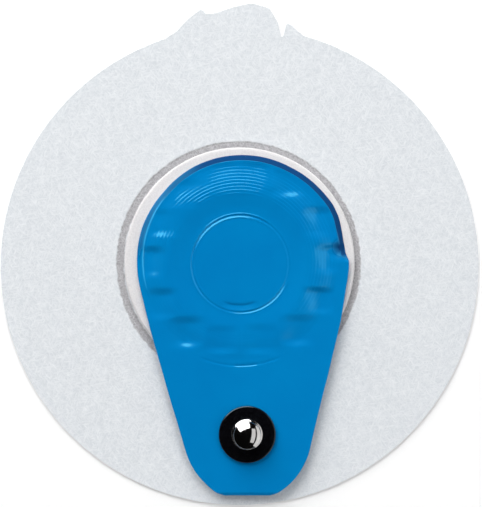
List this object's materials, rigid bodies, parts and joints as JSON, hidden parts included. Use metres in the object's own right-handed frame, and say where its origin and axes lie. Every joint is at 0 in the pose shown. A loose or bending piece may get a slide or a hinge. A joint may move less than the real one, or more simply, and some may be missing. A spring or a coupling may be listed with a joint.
{
  "type": "ecg electrode",
  "caption": "Round disposable skin electrode: nonwoven adhesive sheet with torn tab, foam ring round a gel well, formed blue film and off-centre press stud for the lead.",
  "frame": {"origin": "centre of the gel well on the skin side", "axes": "+Z away from the skin, +Y towards the finger tab, tail and press stud towards -Y"},
  "size_m": [0.068, 0.0713, 0.0056],
  "materials": {
    "backing_sheet": "white nonwoven",
    "foam_ring": "white closed-cell foam",
    "gel_sponge": "open foam wet with gel",
    "sensor_disc": "silver chloride coating",
    "conductor_strip": "carbon-filled film",
    "tail_lining": "white film",
    "carrier_film": "glossy blue formed film",
    "snap_washer": "black moulded",
    "snap_stud": "bright plated",
    "snap_eyelet": "bright plated"
  },
  "bodies": {
    "root": {"backing_sheet": "backing_sheet", "foam_ring": "foam_ring", "gel_sponge": "gel_sponge", "sensor_disc": "sensor_disc", "conductor_strip": "conductor_strip", "tail_lining": "tail_lining", "carrier_film": "carrier_film", "snap_washer": "snap_washer", "snap_stud": "snap_stud", "snap_eyelet": "snap_eyelet"}
  },
  "joints": []
}
